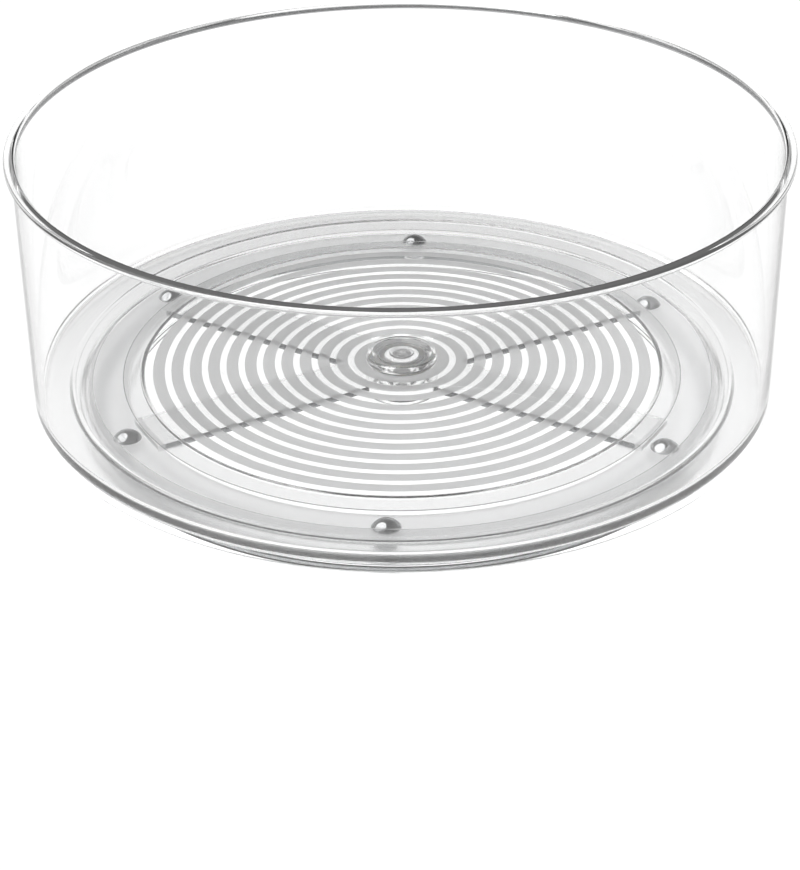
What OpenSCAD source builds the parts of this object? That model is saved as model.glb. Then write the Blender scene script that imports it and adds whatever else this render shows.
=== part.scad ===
// Clear round turntable bin. The tray runs on a ring of steel balls that a
// spider cage spaces out, over a flat clear base, and turns on the base's stem.
// Millimetres, +Z up. The origin is the middle of the circle it stands on.

/* [Overall] */
// Diameter over the rim's lip
rim_d = 300; // [280:1:330]
// Height from the table to the top of the lip
overall_h = 115; // [80:1:160]

/* [Tray] */
// Diameter of the wall, outside, just under the lip
wall_d_top = 294.8; // [270:0.2:300]
// Diameter of the wall, outside, at its foot
wall_d_foot = 294; // [270:0.2:300]
// Thickness of the wall at its foot
wall_t_foot = 2.4; // [2:0.1:3.5]
// Thickness of the wall at the lip
wall_t_lip = 1.9; // [1.2:0.1:2.5]
// Height of the rounded lip
lip_h = 2.4; // [1.6:0.2:3.2]
// Thickness of the floor inside the ball race
floor_t = 2.4; // [2:0.1:3]
// Depth of the shallow ring-shaped dip above the ball race
dip = 0.8; // [0.4:0.1:1]
// Length of the wall that hangs below the top of the floor
skirt = 6.9; // [5:0.1:8]

/* [Floor rings] */
// Number of clear rings between the frosted bands
ring_count = 12; // [6:1:12]
// Radius of the first clear ring
ring_first_r = 20.5; // [19:0.5:24]
// Distance from one clear ring to the next
ring_pitch = 7.36; // [6:0.02:7.4]
// Width of a clear ring
ring_clear_w = 2.7; // [1.5:0.1:4]
// Height of the frosted texture, on the underside of the floor
frost_h = 0.1; // [0.05:0.05:0.2]

/* [Ball race] */
// Number of steel balls
ball_count = 6; // [6:1:6]
// Diameter of a ball
ball_d = 12.7; // [12:0.1:12.7]
// Radius of the circle that the balls run on
race_r = 118.2; // [116:0.1:120]
// Width of the race's channel
race_w = 12.4; // [10:0.2:12.6]
// Depth of the channel in the tray's underside
race_depth = 0.5; // [0.3:0.1:0.6]
// Angle of the first ball, from +X
ball_phase = 27; // [0:1:59]

/* [Cage] */
// Width of one arm of the cage
arm_w = 23; // [12:1:26]
// Thickness of an arm, which sinks a little way into the ring
arm_t = 2.5; // [2.5:0.1:3]
// Angle between the two arms on the right, and between those on the left
arm_spread = 60; // [50:1:70]
// Turn of the whole cross of arms, from +X
arm_turn = -1; // [-10:1:10]

/* [Hub] */
// Diameter of the raised hub on the tray's floor
hub_d = 28; // [24:1:32]
// Height of the hub above the floor
hub_h = 2.6; // [1.6:0.2:4]
// Diameter of the stem that the tray turns on
stem_d = 14; // [12:0.5:16]
// Diameter of the hole in the stem
stem_hole_d = 7.2; // [5:0.2:8]

/* [Hidden] */
$fn = 96;

run_gap = 0.05;                 // clearance of a running fit, and of a ball in its race
lap = 0.4;                      // how far joined shapes of one piece run into each other

// Heights, from the table up
grip_proud = 0.6;
base_bottom = grip_proud;
base_t = 2;
base_top = base_bottom + base_t;
base_race_depth = 0.4;
ball_z = base_top - base_race_depth + run_gap + ball_d / 2;
race_top = ball_z + ball_d / 2 + run_gap;
dip_t = 1.7 + race_depth;       // thickness of the floor over the race, beside the channel
dip_under = race_top - race_depth;
dip_top = dip_under + dip_t;
floor_top = dip_top + dip;
floor_under = floor_top - floor_t;
clear_under = floor_under + frost_h;
skirt_bottom = floor_top - skirt;
lip_mid = overall_h - lip_h / 2;

// Radii of the tray
rim_r = rim_d / 2;
lip_r = lip_h / 2;
wall_r_top = wall_d_top / 2;
wall_r_foot = wall_d_foot / 2;
inner_r_top = wall_r_top - wall_t_lip;
inner_r_foot = wall_r_foot - wall_t_foot;
foot_fillet = 2.5;
skirt_round = 1.6;
dip_in_r = 105.3;
dip_out_r = 130.8;
dip_slope = 1.4;
dip_under_in_r = 103.6;

// Hub: the stem stands on a boss, and a two-piece rivet in it holds the tray down
hub_r = hub_d / 2;
hub_top = floor_top + hub_h;
stem_r = stem_d / 2;
stem_hole_r = stem_hole_d / 2;
seat_z = floor_top + 0.5;       // floor of the recess that the rivet's flange lies in
seat_r = 9.8;
seat_mouth_r = 12;
stem_top = seat_z + 0.1;
washer_t = 0.7;
boss_top = floor_under - washer_t - 2 * run_gap;
boss_r = 14.5;
washer_r = 13;
flange_r = 9.4;
flange_t = 1.2;
rivet_length = 11;
pin_r = 2;
pin_head_r = 5;
pin_head_t = 0.8;
gate_r = 0.7;
gate_depth = 0.3;

// Cage
cage_hold_h = 3.3;              // the ring's top face, above the balls' centres
cage_ring_top = ball_z + cage_hold_h;
cage_ring_t = 3;
cage_ring_half_w = 7.8;
cage_top = dip_under - 0.4;
cage_arm_lap = 1.6;             // how far each arm reaches over the ring
cage_hub_in_r = boss_r + run_gap;
cage_hub_r = 24;
cage_pocket_gap = 0.08;

// Base
base_r = 129.8;
base_rim_t = 2.4;
base_rim_top = 11.5;
guide_h = 2.1;
guide_w = 1.6;
boss_wall = 2.3;
boss_cap_t = 2.4;
grip_in_r = 119.5;
grip_out_r = 125;
grip_t = 1.2;

// What a rounded edge takes off a square corner at the origin, or a fillet adds in one
module corner(r) {
    difference() {
        square([r, r]);
        translate([r, r]) circle(r);
    }
}

// A rectangle between two radii and two heights, as half of a turned profile
module band(r_in, r_out, z_low, z_high) {
    translate([r_in, z_low]) square([r_out - r_in, z_high - z_low]);
}

// The drafted wall, its rounded foot and the lip round its top
module wall_profile() {
    difference() {
        polygon([[inner_r_foot, skirt_bottom], [wall_r_foot, skirt_bottom],
            [wall_r_top, lip_mid], [inner_r_top, lip_mid], [inner_r_foot, floor_top]]);
        translate([wall_r_foot, skirt_bottom]) mirror([1, 0]) corner(skirt_round);
        translate([inner_r_foot, skirt_bottom]) corner(skirt_round / 2);
    }
    translate([inner_r_top + lip_r, lip_mid]) circle(lip_r);
    translate([rim_r - lip_r, lip_mid]) circle(lip_r);
    band(inner_r_top + lip_r, rim_r - lip_r, lip_mid - lip_r, lip_mid + lip_r);
}

// The floor, with its dip over the race and the channel that the balls touch
module floor_profile() {
    band(stem_r + run_gap, dip_under_in_r, clear_under, floor_top);
    polygon([[dip_under_in_r - lap, clear_under], [dip_under_in_r, clear_under],
        [dip_under_in_r + dip_slope, dip_under], [dip_out_r + dip_slope, dip_under],
        [dip_out_r + 2 * dip_slope, floor_under], [inner_r_foot + lap, floor_under],
        [inner_r_foot + lap, floor_top], [dip_out_r + dip_slope, floor_top],
        [dip_out_r, dip_top], [dip_in_r, dip_top],
        [dip_in_r - dip / 2, floor_top], [dip_under_in_r - lap, floor_top]]);
    translate([inner_r_foot, floor_top]) mirror([1, 0]) corner(foot_fillet);
}

// The frosted bands under the floor, each from one clear ring to the next
module frosted_bands() {
    first_out = ring_first_r - ring_clear_w / 2;
    band(hub_r - lap, first_out, floor_under, clear_under + frost_h);
    for (k = [0 : ring_count - 2]) {
        start_r = ring_first_r + k * ring_pitch + ring_clear_w / 2;
        band(start_r, start_r + ring_pitch - ring_clear_w, floor_under, clear_under + frost_h);
    }
}

// The raised hub, with a sloped mouth down to the rivet's seat
module hub_profile() {
    difference() {
        polygon([[stem_r + run_gap, floor_under], [hub_r, floor_under],
            [hub_r, hub_top], [seat_mouth_r, hub_top], [seat_r, seat_z + 0.6],
            [seat_r, seat_z], [stem_r + run_gap, seat_z]]);
        translate([hub_r, hub_top]) rotate(180) corner(0.8);
    }
}

module tray() {
    color([0.9, 0.94, 0.96, 0.35])
    rotate_extrude() {
        difference() {
            floor_profile();
            band(race_r - race_w / 2, race_r + race_w / 2, dip_under - 1, race_top);
        }
        wall_profile();
        frosted_bands();
        hub_profile();
    }
}

// The hollow boss in the middle of the base, with the stem on top of it
module boss_profile() {
    band(stem_r - boss_wall, boss_r, base_bottom, boss_top);
    band(stem_hole_r, stem_r, base_bottom, stem_top);
}

module base() {
    color([0.88, 0.93, 0.95, 0.35])
    rotate_extrude() {
        difference() {
            union() {
                band(stem_hole_r, base_r, base_bottom, base_top);
                band(base_r - base_rim_t, base_r, base_bottom, base_rim_top);
                boss_profile();
                for (side = [-1, 1]) {
                    guide_r = race_r + side * (race_w / 2 + guide_w / 2);
                    band(guide_r - guide_w / 2, guide_r + guide_w / 2, base_top - lap, base_top + guide_h);
                }
            }
            band(race_r - race_w / 2, race_r + race_w / 2, base_top - base_race_depth, base_top + 0.01);
            band(grip_in_r, grip_out_r, 0, grip_t);
            band(stem_r + boss_wall, boss_r - boss_wall, 0, boss_top - boss_cap_t);
            translate([base_r, base_bottom]) mirror([1, 0]) corner(0.8);
            translate([base_r, base_rim_top]) rotate(180) corner(0.8);
        }
    }
}

// Where ball k is, and whatever is placed with it
module at_ball(k) {
    rotate(ball_phase + (k - 1) * 360 / ball_count)
        translate([race_r, 0, ball_z])
            children();
}

// The ring that spaces the balls, under the ends of four flat arms from the hub
module ball_cage() {
    ring_in = race_r - cage_ring_half_w;
    ring_low = cage_ring_top - cage_ring_t;
    arm_start = cage_hub_in_r + lap / 2;
    arm_end = ring_in + cage_arm_lap;
    color([0.93, 0.96, 0.97, 0.4])
    difference() {
        union() {
            rotate_extrude() {
                band(ring_in, race_r + cage_ring_half_w, ring_low, cage_ring_top);
                band(cage_hub_in_r, cage_hub_r, cage_top - arm_t, cage_top);
            }
            for (side = [0, 180], lean = [-1, 1])
                rotate(arm_turn + side + lean * arm_spread / 2)
                    translate([arm_start, -arm_w / 2, cage_top - arm_t])
                        cube([arm_end - arm_start, arm_w, arm_t]);
        }
        for (k = [1 : ball_count])
            at_ball(k) sphere(ball_d / 2 + cage_pocket_gap);
    }
}

module ball(k) {
    color([0.72, 0.73, 0.75])
    at_ball(k) sphere(ball_d / 2);
}

module thrust_washer() {
    color([0.95, 0.95, 0.93])
    rotate_extrude()
        band(stem_r + 0.2, washer_r, boss_top + run_gap, boss_top + run_gap + washer_t);
}

// The rivet's body: a flange over the tray's hub, and a hollow shank in the stem
module rivet_body() {
    color([0.9, 0.94, 0.96, 0.4])
    rotate_extrude() {
        band(pin_r, stem_hole_r, stem_top - rivet_length, stem_top + flange_t);
        difference() {
            band(pin_r, flange_r, stem_top, stem_top + flange_t);
            translate([flange_r, stem_top + flange_t]) rotate(180) corner(0.5);
        }
    }
}

// The rivet's pin, which spreads the shank, with its moulding gate on the head
module rivet_pin() {
    head_z = stem_top + flange_t;
    color([0.86, 0.9, 0.92, 0.5])
    rotate_extrude()
        difference() {
            union() {
                band(0, pin_r, stem_top - rivet_length, head_z);
                band(0, pin_head_r, head_z, head_z + pin_head_t);
            }
            band(0, gate_r, head_z + pin_head_t - gate_depth, head_z + pin_head_t + 1);
            translate([pin_head_r, head_z + pin_head_t]) rotate(180) corner(0.3);
        }
}

module grip_ring() {
    color([0.75, 0.77, 0.78, 0.6])
    rotate_extrude()
        difference() {
            band(grip_in_r, grip_out_r, 0, grip_t);
            translate([grip_in_r, 0]) corner(0.3);
            translate([grip_out_r, 0]) mirror([1, 0]) corner(0.3);
        }
}

tray();
base();
ball_cage();
for (k = [1 : ball_count])
    ball(k);
thrust_washer();
rivet_body();
rivet_pin();
grip_ring();
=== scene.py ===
"""The looks of a clear round turntable bin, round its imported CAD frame.

The tray, the base and the hub's rivet are turned again here from short outlines with rounded corners,
because clear plastic shows every facet. The balls, the cage, the washer and the grip ring are the CAD
solids with better materials.
"""
import math

import bpy
from mathutils import Matrix, Vector


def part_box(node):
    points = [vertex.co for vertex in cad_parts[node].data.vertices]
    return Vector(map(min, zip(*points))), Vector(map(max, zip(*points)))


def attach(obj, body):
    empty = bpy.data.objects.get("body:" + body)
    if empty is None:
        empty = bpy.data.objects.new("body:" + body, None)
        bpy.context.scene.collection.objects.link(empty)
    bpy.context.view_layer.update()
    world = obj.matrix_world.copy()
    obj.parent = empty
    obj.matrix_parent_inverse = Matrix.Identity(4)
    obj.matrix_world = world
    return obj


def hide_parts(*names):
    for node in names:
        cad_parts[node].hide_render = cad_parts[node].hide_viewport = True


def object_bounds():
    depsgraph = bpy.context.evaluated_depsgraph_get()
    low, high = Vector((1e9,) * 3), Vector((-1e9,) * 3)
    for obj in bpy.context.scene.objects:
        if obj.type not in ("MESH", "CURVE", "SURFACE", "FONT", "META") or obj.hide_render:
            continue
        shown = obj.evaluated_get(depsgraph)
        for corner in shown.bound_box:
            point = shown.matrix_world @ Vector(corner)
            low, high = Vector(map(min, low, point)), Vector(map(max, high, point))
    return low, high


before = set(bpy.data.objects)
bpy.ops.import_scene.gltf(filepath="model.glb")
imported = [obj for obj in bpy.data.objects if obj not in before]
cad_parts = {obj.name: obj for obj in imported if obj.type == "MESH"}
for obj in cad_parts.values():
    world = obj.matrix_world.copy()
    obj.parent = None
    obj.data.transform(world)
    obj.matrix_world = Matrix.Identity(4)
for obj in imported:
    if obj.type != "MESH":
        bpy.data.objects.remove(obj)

MM = 0.001
cad_low, cad_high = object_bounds()

# ---------------------------------------------------------------- sizes, in millimetres, from the frame


def node_mm(node):
    """Lowest and highest corner of a CAD node, in millimetres."""
    low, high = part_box(node)
    return low / MM, high / MM


tray_low, tray_high = node_mm("tray")
base_low, base_high = node_mm("base")
grip_high = node_mm("grip_ring")[1]
body_low, body_high = node_mm("rivet_body")
pin_high = node_mm("rivet_pin")[1]
washer_low = node_mm("thrust_washer")[0]

RIM_R = round(tray_high.x, 1)
LIP_TOP = tray_high.z
LIP_H = 2.4
LIP_R = LIP_H / 2
LIP_MID = LIP_TOP - LIP_R
SKIRT_BOTTOM = tray_low.z
FLOOR_TOP = SKIRT_BOTTOM + 6.9
FLOOR_UNDER = FLOOR_TOP - 2.4
FROST_H = 0.1
CLEAR_UNDER = FLOOR_UNDER + FROST_H
DIP_TOP = FLOOR_TOP - 0.8
DIP_UNDER = DIP_TOP - 2.2
RACE_TOP = DIP_UNDER + 0.5
DIP_IN_R = 105.3
DIP_OUT_R = 130.8
DIP_UNDER_IN_R = 103.6
DIP_SLOPE = 1.4
RACE_R = 118.2
RACE_HALF_W = 6.2
RACE_IN = RACE_R - RACE_HALF_W
RACE_OUT = RACE_R + RACE_HALF_W
WALL_R_FOOT = 147.0
WALL_R_TOP = 147.4
INNER_R_FOOT = 144.6
INNER_R_TOP = 145.5
HUB_R = 14.0
HUB_TOP = FLOOR_TOP + 2.6
SEAT_Z = FLOOR_TOP + 0.5
SEAT_R = 9.8
SEAT_MOUTH_R = 12.0
STEM_R = 7.0
STEM_GAP = 0.05
STEM_TOP = base_high.z
STEM_HOLE_R = 3.6
BASE_BOTTOM = base_low.z
BASE_TOP = BASE_BOTTOM + 2.0
BASE_RIM_TOP = 11.5
BASE_RIM_R = round(base_high.x, 1)
BASE_RIM_IN = BASE_RIM_R - 2.4
BASE_GROOVE = BASE_TOP - 0.4
GUIDE_TOP = BASE_TOP + 2.1
GUIDE_W = 1.6
BOSS_R = 14.5
BOSS_TOP = washer_low.z - 0.05
BOSS_HOLLOW_TOP = BOSS_TOP - 2.4
BOSS_HOLLOW_IN = 9.3
BOSS_HOLLOW_OUT = 12.2
GRIP_IN_R = 119.5
FLANGE_R = round(body_high.x, 1)
FLANGE_TOP = body_high.z
FLANGE_UNDER = FLANGE_TOP - 1.2
PIN_R = 2.0
PIN_BOTTOM = body_low.z
PIN_HEAD_R = round(pin_high.x, 1)
PIN_HEAD_TOP = pin_high.z
PIN_HEAD_UNDER = PIN_HEAD_TOP - 0.8
RING_COUNT = 12
RING_FIRST_R = 20.5
RING_PITCH = 7.36
RING_CLEAR_W = 2.7
# How wide the step at a frosted band's edge is
FROST_STEP = 0.05
# The satin part of the floor's underside, on both sides of the race
SATIN_IN_R = 103.0
SATIN_OUT_R = 143.6
CAGE_HUB_R = 24.0
CAGE_RING_IN_R = RACE_R - 7.8
BALL_COUNT = 6
# Room left between parts that touch, so that light meets one surface at a time
AIR = 0.03

TURN_SEGMENTS = 288
ARC_STEP = math.radians(15)
SMALL_ARC_STEP = math.radians(30)
SMALL_ROUNDING = 0.45
SHARP_ANGLE = math.radians(28)
# A straight stretch of an outline has a point this far from each end, so smooth shading bends only there
HOLD = 0.12

# ---------------------------------------------------------------- materials


class Nodes:
    """A material's node tree, with short calls to add and join its nodes."""

    def __init__(self, name):
        self.material = bpy.data.materials.new(name)
        self.material.use_nodes = True
        self.tree = self.material.node_tree
        self.shader = self.tree.nodes["Principled BSDF"]

    def add(self, kind, **settings):
        made = self.tree.nodes.new(kind)
        for key, value in settings.items():
            if hasattr(made, key):
                setattr(made, key, value)
            else:
                made.inputs[key.replace("_", " ")].default_value = value
        return made

    def join(self, source, output, target, socket):
        self.tree.links.new(source.outputs[output], target.inputs[socket])

    def set(self, **values):
        for key, value in values.items():
            self.shader.inputs[key.replace("_", " ")].default_value = value

    def noise(self, scale, detail=2.0, roughness=0.5):
        """Noise over the object's own coordinates, in metres."""
        place = self.add("ShaderNodeTexCoord")
        made = self.add("ShaderNodeTexNoise", Scale=scale, Detail=detail, Roughness=roughness)
        self.join(place, "Object", made, "Vector")
        return made

    def ramp(self, source, output, low, high, to_low, to_high):
        made = self.add("ShaderNodeMapRange", From_Min=low, From_Max=high, To_Min=to_low, To_Max=to_high)
        self.join(source, output, made, "Value")
        return made

    def blend(self, source, output, colour_a, colour_b):
        """A mix of two colours by a factor from 0 to 1. Returns its colour output."""
        made = self.add("ShaderNodeMix", data_type="RGBA")
        self.join(source, output, made, 0)
        for socket, colour in ((6, colour_a), (7, colour_b)):
            if colour is not None:
                made.inputs[socket].default_value = (*colour, 1.0)
        return made.outputs[2]

    def bump(self, source, output, strength, distance):
        made = self.add("ShaderNodeBump", Strength=strength, Distance=distance)
        self.join(source, output, made, "Height")
        return made


def clear_plastic(name, colour, wave=0.02, haze=0.03, glow=0.0):
    """Gloss moulded plastic, with faint flow waves, and fine handling marks that haze it here and there.

    glow is a painted glow: an emission strength that makes the faces with this material give off light,
    though the plastic is no lamp.
    """
    m = Nodes(name)
    # Emission Strength carries the painted glow
    m.set(Base_Color=(*colour, 1.0), IOR=PLASTIC_IOR, Transmission_Weight=1.0,
          Emission_Color=(1.0, 1.0, 1.0, 1.0), Emission_Strength=glow)
    marks = m.noise(900.0, detail=4.0, roughness=0.65)
    haze_map = m.ramp(marks, "Fac", 0.5, 0.8, 0.0, haze)
    m.join(haze_map, "Result", m.shader, "Roughness")
    flow = m.noise(22.0, detail=1.0)
    bump = m.bump(flow, "Fac", wave, 0.002)
    m.join(bump, "Normal", m.shader, "Normal")
    return m.material


def textured_plastic(name, colour, clear_share, smoothest, roughest, depth):
    """The same plastic under a fine spark-eroded texture, which scatters what is seen through it."""
    m = Nodes(name)
    m.set(IOR=PLASTIC_IOR, Transmission_Weight=clear_share)
    grain = m.noise(2200.0, detail=3.0, roughness=0.7)
    share = m.ramp(grain, "Fac", 0.35, 0.65, 0.0, 1.0)
    tone = m.blend(share, "Result", tuple(c * 0.93 for c in colour), colour)
    m.tree.links.new(tone, m.shader.inputs["Base Color"])
    rough = m.ramp(grain, "Fac", 0.3, 0.7, smoothest, roughest)
    m.join(rough, "Result", m.shader, "Roughness")
    bump = m.bump(grain, "Fac", depth, 0.0002)
    m.join(bump, "Normal", m.shader, "Normal")
    return m.material


def cage_plastic(name):
    """Clear gloss arms whose side faces have a painted dark tone in place of the dark they would reflect, and
    a satin ring round the balls.

    The edge of its hub and the ring have a painted glow: an emission, though the plastic is no lamp.
    """
    m = Nodes(name)
    m.set(IOR=PLASTIC_IOR)
    place = m.add("ShaderNodeTexCoord")
    flat = m.add("ShaderNodeVectorMath", operation="MULTIPLY")
    flat.inputs[1].default_value = (1.0, 1.0, 0.0)
    m.join(place, "Object", flat, 0)
    radius = m.add("ShaderNodeVectorMath", operation="LENGTH")
    m.join(flat, "Vector", radius, 0)
    ring_r = (CAGE_RING_IN_R - 1.0) * MM
    hub_r = (CAGE_HUB_R + 0.1) * MM
    blend_w = 0.4 * MM
    on_ring = m.ramp(radius, "Value", ring_r, ring_r + blend_w, 0.0, 1.0)
    surface = m.add("ShaderNodeNewGeometry")
    parts = m.add("ShaderNodeSeparateXYZ")
    m.join(surface, "True Normal", parts, "Vector")
    level = m.add("ShaderNodeMath", operation="ABSOLUTE")
    m.join(parts, "Z", level, 0)
    on_side = m.ramp(level, "Value", 0.2, 0.5, 1.0, 0.0)
    past_hub = m.ramp(radius, "Value", hub_r, hub_r + blend_w, 0.0, 1.0)
    arm_side = m.add("ShaderNodeMath", operation="MULTIPLY")
    m.join(on_side, "Result", arm_side, 0)
    m.join(past_hub, "Result", arm_side, 1)
    # The arms' side faces past the hub get a painted dark tone
    arm_tone_with_painted_dark_sides = m.blend(arm_side, "Value", ARM_TONE, ARM_SIDE_PAINTED_DARK)
    tone = m.blend(on_ring, "Result", None, SATIN_TONE)
    m.tree.links.new(arm_tone_with_painted_dark_sides, tone.node.inputs[6])
    m.tree.links.new(tone, m.shader.inputs["Base Color"])
    clear_share = m.ramp(on_ring, "Result", 0.0, 1.0, 1.0, 0.7)
    m.join(clear_share, "Result", m.shader, "Transmission Weight")
    m.set(Emission_Color=(1.0, 1.0, 1.0, 1.0))
    hub_side = m.add("ShaderNodeMath", operation="SUBTRACT")
    m.join(on_side, "Result", hub_side, 0)
    m.join(arm_side, "Value", hub_side, 1)
    # Painted glow on the side faces of the hub and on the satin ring
    hub_painted_glow = m.ramp(hub_side, "Value", 0.0, 1.0, 0.0, HUB_PAINTED_GLOW)
    ring_painted_glow = m.ramp(on_ring, "Result", 0.0, 1.0, 0.0, SATIN_PAINTED_GLOW)
    glow = m.add("ShaderNodeMath", operation="ADD")
    m.join(hub_painted_glow, "Result", glow, 0)
    m.join(ring_painted_glow, "Result", glow, 1)
    m.join(glow, "Value", m.shader, "Emission Strength")
    grain = m.noise(1800.0, detail=4.0, roughness=0.6)
    fine = m.ramp(grain, "Fac", 0.3, 0.7, 0.85, 1.0)
    base_rough = m.ramp(on_ring, "Result", 0.0, 1.0, 0.02, 0.36)
    rough = m.add("ShaderNodeMath", operation="MULTIPLY")
    m.join(base_rough, "Result", rough, 0)
    m.join(fine, "Result", rough, 1)
    m.join(rough, "Value", m.shader, "Roughness")
    bump = m.bump(grain, "Fac", 0.05, 0.0002)
    m.join(bump, "Normal", m.shader, "Normal")
    return m.material


def polished_steel(name):
    """Bearing steel: a mirror with faint lapping marks and a trace of oil film."""
    m = Nodes(name)
    m.set(Base_Color=(0.45, 0.455, 0.46, 1.0), Metallic=1.0)
    marks = m.noise(3000.0, detail=5.0, roughness=0.7)
    rough = m.ramp(marks, "Fac", 0.4, 0.75, 0.03, 0.12)
    m.join(rough, "Result", m.shader, "Roughness")
    film = m.noise(160.0, detail=2.0)
    bump = m.bump(film, "Fac", 0.03, 0.0003)
    m.join(bump, "Normal", m.shader, "Normal")
    return m.material


def nylon(name):
    """Natural nylon: milky, slightly waxy."""
    m = Nodes(name)
    m.set(Base_Color=(0.86, 0.86, 0.83, 1.0), IOR=1.53, Transmission_Weight=0.5, Subsurface_Weight=0.2)
    mottle = m.noise(700.0, detail=3.0)
    rough = m.ramp(mottle, "Fac", 0.3, 0.7, 0.3, 0.5)
    m.join(rough, "Result", m.shader, "Roughness")
    bump = m.bump(mottle, "Fac", 0.1, 0.0002)
    m.join(bump, "Normal", m.shader, "Normal")
    return m.material


def grip_rubber(name):
    """Translucent soft rubber with a satin skin."""
    m = Nodes(name)
    m.set(Base_Color=(0.72, 0.74, 0.75, 1.0), IOR=1.43, Transmission_Weight=0.7)
    skin = m.noise(1400.0, detail=4.0, roughness=0.6)
    rough = m.ramp(skin, "Fac", 0.3, 0.7, 0.35, 0.6)
    m.join(rough, "Result", m.shader, "Roughness")
    bump = m.bump(skin, "Fac", 0.2, 0.0002)
    m.join(bump, "Normal", m.shader, "Normal")
    return m.material


PLASTIC_IOR = 1.5
# Painted glow: emission strengths for the tray's foot and outer lip, the rivet, the cage's satin ring and the
# side faces of the cage's hub, though none of them is a lamp
FOOT_PAINTED_GLOW = 0.16
LIP_PAINTED_GLOW = 0.12
RIVET_PAINTED_GLOW = 0.03
SATIN_PAINTED_GLOW = 0.14
HUB_PAINTED_GLOW = 0.5
CLEAR_TONE = (0.998, 0.999, 0.999)
ARM_TONE = (0.99, 0.992, 0.992)
# Painted dark tones for the side faces of the cage arms and for the lip's inner side, in place of the dark
# they would reflect
ARM_SIDE_PAINTED_DARK = (0.30, 0.31, 0.32)
INNER_LIP_PAINTED_DARK = (0.14, 0.142, 0.145)
SATIN_TONE = (0.97, 0.972, 0.975)
tray_clear = clear_plastic("tray_clear", CLEAR_TONE)
tray_frosted = textured_plastic("tray_frosted", (0.78, 0.782, 0.785), 0.75, 0.55, 0.75, 0.25)
tray_satin = textured_plastic("tray_satin", (0.80, 0.803, 0.806), 0.97, 0.16, 0.3, 0.1)
# The foot and outer lip materials carry a painted glow, the inner lip material a painted dark tone, and the
# rivet's clear plastic a faint painted glow
tray_foot = clear_plastic("tray_foot", CLEAR_TONE, glow=FOOT_PAINTED_GLOW)
tray_lip = clear_plastic("tray_lip", CLEAR_TONE, glow=LIP_PAINTED_GLOW)
tray_inner_lip_painted_dark = clear_plastic("tray_inner_lip_painted_dark", INNER_LIP_PAINTED_DARK)
base_clear = clear_plastic("base_clear", CLEAR_TONE)
cage_clear = cage_plastic("cage_clear")
rivet_clear = clear_plastic("rivet_clear", (0.95, 0.953, 0.956), glow=RIVET_PAINTED_GLOW)
rivet_satin = textured_plastic("rivet_satin", (0.86, 0.863, 0.866), 0.95, 0.12, 0.25, 0.1)
steel = polished_steel("ball_steel")
washer_nylon = nylon("washer_nylon")
rubber = grip_rubber("grip_rubber")

# ---------------------------------------------------------------- turned meshes


def corner_arc(corners, i):
    """The points of one corner (radius, height, rounding): the corner itself, or the arc that rounds it."""
    r, z, rounding = corners[i]
    here = Vector((r, z))
    if rounding <= 0:
        return [here]
    to_last = (Vector(corners[i - 1][:2]) - here).normalized()
    to_next = (Vector(corners[(i + 1) % len(corners)][:2]) - here).normalized()
    half = to_last.angle(to_next) / 2
    reach = rounding / math.tan(half)
    centre = here + (to_last + to_next).normalized() * (rounding / math.sin(half))
    start = here + to_last * reach - centre
    end = here + to_next * reach - centre
    turn = start.angle_signed(end)
    step = SMALL_ARC_STEP if rounding < SMALL_ROUNDING else ARC_STEP
    steps = max(1, math.ceil(abs(turn) / step))
    return [centre + Matrix.Rotation(-turn * k / steps, 2) @ start for k in range(steps + 1)]


def rounded(corners):
    """The closed outline through corners, in millimetres, with the rounded ones as arcs."""
    arcs = [corner_arc(corners, i) for i in range(len(corners))]
    points = []
    for arc, next_arc in zip(arcs, arcs[1:] + arcs[:1]):
        points += arc
        stretch = next_arc[0] - arc[-1]
        if stretch.length > 4 * HOLD:
            step = stretch.normalized() * HOLD
            points += [arc[-1] + step, next_arc[0] - step]
    return points


def turned(name, corners, materials, pick=None):
    """A closed outline turned about Z. pick(radius, height) of a face's middle says which material it has."""
    outline = rounded(corners)
    on_axis = [p.x < 1e-6 for p in outline]
    vertices = []
    rows = []
    for p, axis in zip(outline, on_axis):
        rows.append(len(vertices))
        for s in range(1 if axis else TURN_SEGMENTS):
            a = 2 * math.pi * s / TURN_SEGMENTS
            vertices.append((p.x * math.cos(a) * MM, p.x * math.sin(a) * MM, p.y * MM))
    faces = []
    slots = []
    for i, p in enumerate(outline):
        j = (i + 1) % len(outline)
        if on_axis[i] and on_axis[j]:
            continue
        middle = (p + outline[j]) / 2
        slot = pick(middle.x, middle.y) if pick else 0
        for s in range(TURN_SEGMENTS):
            t = (s + 1) % TURN_SEGMENTS
            ring_i = [rows[i]] if on_axis[i] else [rows[i] + s, rows[i] + t]
            ring_j = [rows[j]] if on_axis[j] else [rows[j] + t, rows[j] + s]
            faces.append(ring_i + ring_j)
            slots.append(slot)
    mesh = bpy.data.meshes.new(name)
    mesh.from_pydata(vertices, [], faces)
    mesh.polygons.foreach_set("material_index", slots)
    for material in materials:
        mesh.materials.append(material)
    mesh.update()
    mesh.shade_smooth()
    mesh.set_sharp_from_angle(angle=SHARP_ANGLE)
    piece = bpy.data.objects.new(name, mesh)
    bpy.context.scene.collection.objects.link(piece)
    return piece


def frosted_edges():
    """Inner and outer radius of each frosted band, from the hub out."""
    edges = [(HUB_R, RING_FIRST_R - RING_CLEAR_W / 2)]
    for k in range(RING_COUNT - 1):
        start = RING_FIRST_R + k * RING_PITCH + RING_CLEAR_W / 2
        edges.append((start, start + RING_PITCH - RING_CLEAR_W))
    return edges


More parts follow.
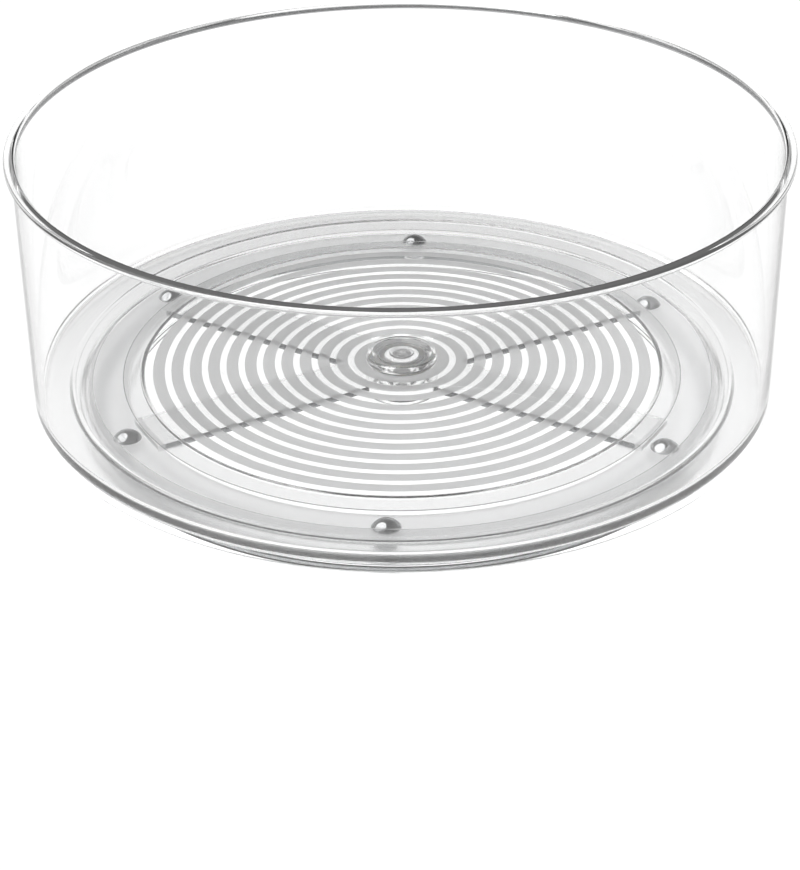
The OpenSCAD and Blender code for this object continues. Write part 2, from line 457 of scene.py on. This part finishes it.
def tray_outline():
    """Once round the tray's section: its underside, up the wall, and back in over the floor to the hub."""
    hole_r = STEM_R + STEM_GAP
    lip_rounding = LIP_R - 0.02
    corners = [(hole_r, FLOOR_UNDER, 0.3), (HUB_R, FLOOR_UNDER, 0)]
    for inner, outer in frosted_edges():
        if inner > HUB_R:
            corners += [(inner, CLEAR_UNDER, 0), (inner + FROST_STEP, FLOOR_UNDER, 0)]
        corners += [(outer - FROST_STEP, FLOOR_UNDER, 0), (outer, CLEAR_UNDER, 0)]
    corners += [
        (DIP_UNDER_IN_R, CLEAR_UNDER, 0.8), (DIP_UNDER_IN_R + DIP_SLOPE, DIP_UNDER, 0.5),
        (RACE_IN, DIP_UNDER, 0.12), (RACE_IN, RACE_TOP, 0.2),
        (RACE_OUT, RACE_TOP, 0.2), (RACE_OUT, DIP_UNDER, 0.12),
        (DIP_OUT_R + DIP_SLOPE, DIP_UNDER, 0.5), (DIP_OUT_R + 2 * DIP_SLOPE, FLOOR_UNDER, 0.8),
        (INNER_R_FOOT, FLOOR_UNDER, 0.8), (INNER_R_FOOT, SKIRT_BOTTOM, 0.8),
        (WALL_R_FOOT, SKIRT_BOTTOM, 1.6), (WALL_R_TOP, LIP_MID - LIP_R, 0.6),
        (RIM_R, LIP_MID - LIP_R, lip_rounding), (RIM_R, LIP_TOP, lip_rounding),
        (INNER_R_TOP, LIP_TOP, lip_rounding), (INNER_R_TOP, LIP_MID - LIP_R, 0),
        (INNER_R_FOOT, FLOOR_TOP, 2.5),
        (DIP_OUT_R + DIP_SLOPE, FLOOR_TOP, 0.6), (DIP_OUT_R, DIP_TOP, 0.6),
        (DIP_IN_R, DIP_TOP, 0.4), (DIP_IN_R - 0.4, FLOOR_TOP, 0.4),
        (HUB_R, FLOOR_TOP, 0.5), (HUB_R, HUB_TOP, 0.8), (SEAT_MOUTH_R, HUB_TOP, 0.4),
        (SEAT_R, SEAT_Z + 0.6, 0.3), (SEAT_R, SEAT_Z, 0.2), (hole_r, SEAT_Z, 0.2),
    ]
    return corners


def make_tray():
    """The bin: frosted and satin bands underneath, a painted glow at the foot and the outer lip, and a
    painted dark tone on the lip's inner side.
    """
    bands = frosted_edges()
    materials = [tray_clear, tray_frosted, tray_satin, tray_foot, tray_lip, tray_inner_lip_painted_dark]
    clear, frosted, satin, foot, lip, inner_lip_painted_dark = range(len(materials))

    def pick(r, z):
        if abs(z - FLOOR_UNDER) < FROST_H / 4 and any(a < r < b for a, b in bands):
            return frosted
        if z < CLEAR_UNDER + FROST_H and SATIN_IN_R < r < SATIN_OUT_R and abs(r - RACE_R) > RACE_HALF_W:
            return satin
        # The outer lip and the foot get a painted glow, and the lip's inner side a painted dark tone
        if z > LIP_MID - LIP_H:
            return lip if r > WALL_R_TOP else inner_lip_painted_dark if r < INNER_R_TOP + 0.1 else clear
        return foot if z < SKIRT_BOTTOM + LIP_R else clear

    piece = turned("tray_bin", tray_outline(), materials, pick)
    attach(piece, "tray")
    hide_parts("tray")


def make_base():
    """The plate, with its rim, the guides beside the race, the hollow boss, the stem and a groove."""
    pocket_in = GRIP_IN_R - AIR
    pocket_out = grip_high.x + AIR
    pocket_top = grip_high.z + AIR
    hole_r = STEM_HOLE_R + AIR
    piece = turned("base_plate", [
        (hole_r, BASE_BOTTOM, 0.3), (BOSS_HOLLOW_IN, BASE_BOTTOM, 0.3),
        (BOSS_HOLLOW_IN, BOSS_HOLLOW_TOP, 0.6), (BOSS_HOLLOW_OUT, BOSS_HOLLOW_TOP, 0.6),
        (BOSS_HOLLOW_OUT, BASE_BOTTOM, 0.3),
        (pocket_in, BASE_BOTTOM, 0.15), (pocket_in, pocket_top, 0), (pocket_out, pocket_top, 0),
        (pocket_out, BASE_BOTTOM, 0.15), (BASE_RIM_R, BASE_BOTTOM, 0.8), (BASE_RIM_R, BASE_RIM_TOP, 0.8),
        (BASE_RIM_IN, BASE_RIM_TOP, 0.5), (BASE_RIM_IN, BASE_TOP, 0.5),
        (RACE_OUT + GUIDE_W, BASE_TOP, 0.2), (RACE_OUT + GUIDE_W, GUIDE_TOP, 0.4),
        (RACE_OUT, GUIDE_TOP, 0.4), (RACE_OUT, BASE_GROOVE, 0.3),
        (RACE_IN, BASE_GROOVE, 0.3), (RACE_IN, GUIDE_TOP, 0.4),
        (RACE_IN - GUIDE_W, GUIDE_TOP, 0.4), (RACE_IN - GUIDE_W, BASE_TOP, 0.2),
        (BOSS_R, BASE_TOP, 0.8), (BOSS_R, BOSS_TOP, 0.4), (STEM_R, BOSS_TOP, 0.3),
        (STEM_R, STEM_TOP, 0.3), (hole_r, STEM_TOP, 0.2),
    ], [base_clear])
    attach(piece, "stand")
    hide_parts("base")


def satin_above(level):
    """Picks the second material for the faces at the top of a turned piece."""
    return lambda r, z: 1 if z > level - 0.01 else 0


def make_rivet():
    """The rivet's body and pin. The pin's head has the dimple and nib that its moulding gate leaves."""
    shank_r = STEM_HOLE_R - AIR
    bore_r = PIN_R + AIR
    flange_under = FLANGE_UNDER + AIR
    body = turned("rivet_flange", [
        (bore_r, PIN_BOTTOM, 0.2), (shank_r, PIN_BOTTOM, 0.4), (shank_r, flange_under, 0.1),
        (FLANGE_R, flange_under, 0.2), (FLANGE_R, FLANGE_TOP, 0.5), (bore_r, FLANGE_TOP, 0.2),
    ], [rivet_clear, rivet_satin], satin_above(FLANGE_TOP))
    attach(body, "stand")
    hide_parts("rivet_body")
    head_under = PIN_HEAD_UNDER + AIR
    dimple_z = PIN_HEAD_TOP - 0.3
    nib_z = PIN_HEAD_TOP - 0.1
    pin_r = PIN_R - AIR
    pin = turned("rivet_pin_head", [
        (0, PIN_BOTTOM, 0), (pin_r, PIN_BOTTOM, 0.3), (pin_r, head_under, 0.1),
        (PIN_HEAD_R, head_under, 0.1), (PIN_HEAD_R, PIN_HEAD_TOP, 0.3),
        (1.1, PIN_HEAD_TOP, 0.15), (0.8, dimple_z, 0.1), (0.35, dimple_z, 0.08),
        (0.3, nib_z, 0.06), (0, nib_z, 0),
    ], [rivet_clear, rivet_satin], satin_above(PIN_HEAD_TOP))
    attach(pin, "stand")
    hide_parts("rivet_pin")


def dress(node, material):
    """Gives a CAD node its material."""
    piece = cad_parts[node]
    piece.data.materials.clear()
    piece.data.materials.append(material)


make_tray()
make_base()
make_rivet()
dress("ball_cage", cage_clear)
dress("thrust_washer", washer_nylon)
dress("grip_ring", rubber)
for k in range(BALL_COUNT):
    dress(f"ball_{k + 1}", steel)

# ---------------------------------------------------------------- floor, light and camera

# The room: bright walls up to a level, a dark ceiling, dark flags at both sides, a window and a soft box.
# Directions are unit vectors, so each edge is a start and an end along one of their parts.
WALL_LIGHT = 1.15
WALL_TOP = (0.24, 0.32)
DARK_LIGHT = 0.12
FLAG_SHARE = 0.3
FLAG_EDGE = (0.78, 0.92)
WINDOW_LIGHT = 0.25
WINDOW_EDGE = (0.66, 0.76)
SOFT_BOX_AIM = Vector((-0.56, 0.02, 0.83)).normalized()
SOFT_BOX_LIGHT = 2.6
SOFT_BOX_EDGE = (0.81, 0.84)
# The floor is a light table, brighter right under the turntable. Metres.
FLOOR_HALF = 6.0
FLOOR_DROP = 0.0002
FLOOR_LIGHT = 0.99
TABLE_LIGHT = 1.35
TABLE_EDGE = (0.12, 0.15)
CAMERA_AT = (-0.001, -0.8016, 0.4504)
CAMERA_LENS = 93.5
CAMERA_PITCH = math.radians(30.33)
CAMERA_ROLL = math.radians(-0.51)


def make_floor():
    """A white glowing floor under everything."""
    mesh = bpy.data.meshes.new("floor")
    level = cad_low.z - FLOOR_DROP
    corners = [(-1, -1), (1, -1), (1, 1), (-1, 1)]
    mesh.from_pydata([(x * FLOOR_HALF, y * FLOOR_HALF, level) for x, y in corners], [], [(0, 1, 2, 3)])
    floor = bpy.data.objects.new("floor", mesh)
    bpy.context.scene.collection.objects.link(floor)
    m = Nodes("floor_white")
    m.set(Base_Color=(0.1, 0.1, 0.1, 1.0), Roughness=0.9, Specular_IOR_Level=0.0,
          Emission_Color=(1.0, 1.0, 1.0, 1.0))
    place = m.add("ShaderNodeTexCoord")
    radius = m.add("ShaderNodeVectorMath", operation="LENGTH")
    m.join(place, "Object", radius, 0)
    glow = m.ramp(radius, "Value", *TABLE_EDGE, TABLE_LIGHT, FLOOR_LIGHT)
    m.join(glow, "Result", m.shader, "Emission Strength")
    mesh.materials.append(m.material)


def make_world():
    """A white room, dark above and at both sides, with a dim window behind and a soft box up to the left."""
    world = bpy.data.worlds.new("studio")
    bpy.context.scene.world = world
    world.use_nodes = True
    tree = world.node_tree

    def node(kind, **settings):
        made = tree.nodes.new(kind)
        for key, value in settings.items():
            setattr(made, key, value)
        return made

    def shade(source, low, high, to_low, to_high):
        made = node("ShaderNodeMapRange", interpolation_type="SMOOTHSTEP")
        tree.links.new(source, made.inputs["Value"])
        for socket, value in (("From Min", low), ("From Max", high), ("To Min", to_low), ("To Max", to_high)):
            made.inputs[socket].default_value = value
        return made.outputs["Result"]

    def both(operation, a, b):
        made = node("ShaderNodeMath", operation=operation)
        tree.links.new(a, made.inputs[0])
        tree.links.new(b, made.inputs[1])
        return made.outputs["Value"]

    direction = node("ShaderNodeTexCoord").outputs["Generated"]
    parts = node("ShaderNodeSeparateXYZ")
    tree.links.new(direction, parts.inputs["Vector"])
    aim = node("ShaderNodeVectorMath", operation="DOT_PRODUCT")
    tree.links.new(direction, aim.inputs[0])
    aim.inputs[1].default_value = SOFT_BOX_AIM
    side = node("ShaderNodeMath", operation="ABSOLUTE")
    tree.links.new(parts.outputs["X"], side.inputs[0])
    walls = shade(parts.outputs["Z"], *WALL_TOP, WALL_LIGHT, DARK_LIGHT)
    flags = shade(side.outputs["Value"], *FLAG_EDGE, 1.0, FLAG_SHARE)
    window = shade(parts.outputs["Y"], *WINDOW_EDGE, 0.0, WINDOW_LIGHT)
    soft_box = shade(aim.outputs["Value"], *SOFT_BOX_EDGE, 0.0, SOFT_BOX_LIGHT)
    room = both("MAXIMUM", both("MULTIPLY", walls, flags), window)
    total = both("MAXIMUM", room, soft_box)
    tree.links.new(total, tree.nodes["Background"].inputs["Strength"])
    tree.nodes["Background"].inputs["Color"].default_value = (1.0, 1.0, 1.0, 1.0)


def make_camera():
    """Looks down at the turntable from in front, a little rolled."""
    data = bpy.data.cameras.new("camera")
    camera = bpy.data.objects.new("camera", data)
    bpy.context.scene.collection.objects.link(camera)
    data.lens = CAMERA_LENS
    data.clip_end = 100.0
    camera.matrix_world = (
        Matrix.Translation(CAMERA_AT)
        @ Matrix.Rotation(math.pi / 2 - CAMERA_PITCH, 4, "X")
        @ Matrix.Rotation(CAMERA_ROLL, 4, "Z"))
    bpy.context.scene.camera = camera


make_floor()
make_world()
make_camera()
bpy.context.scene.view_settings.view_transform = "Standard"
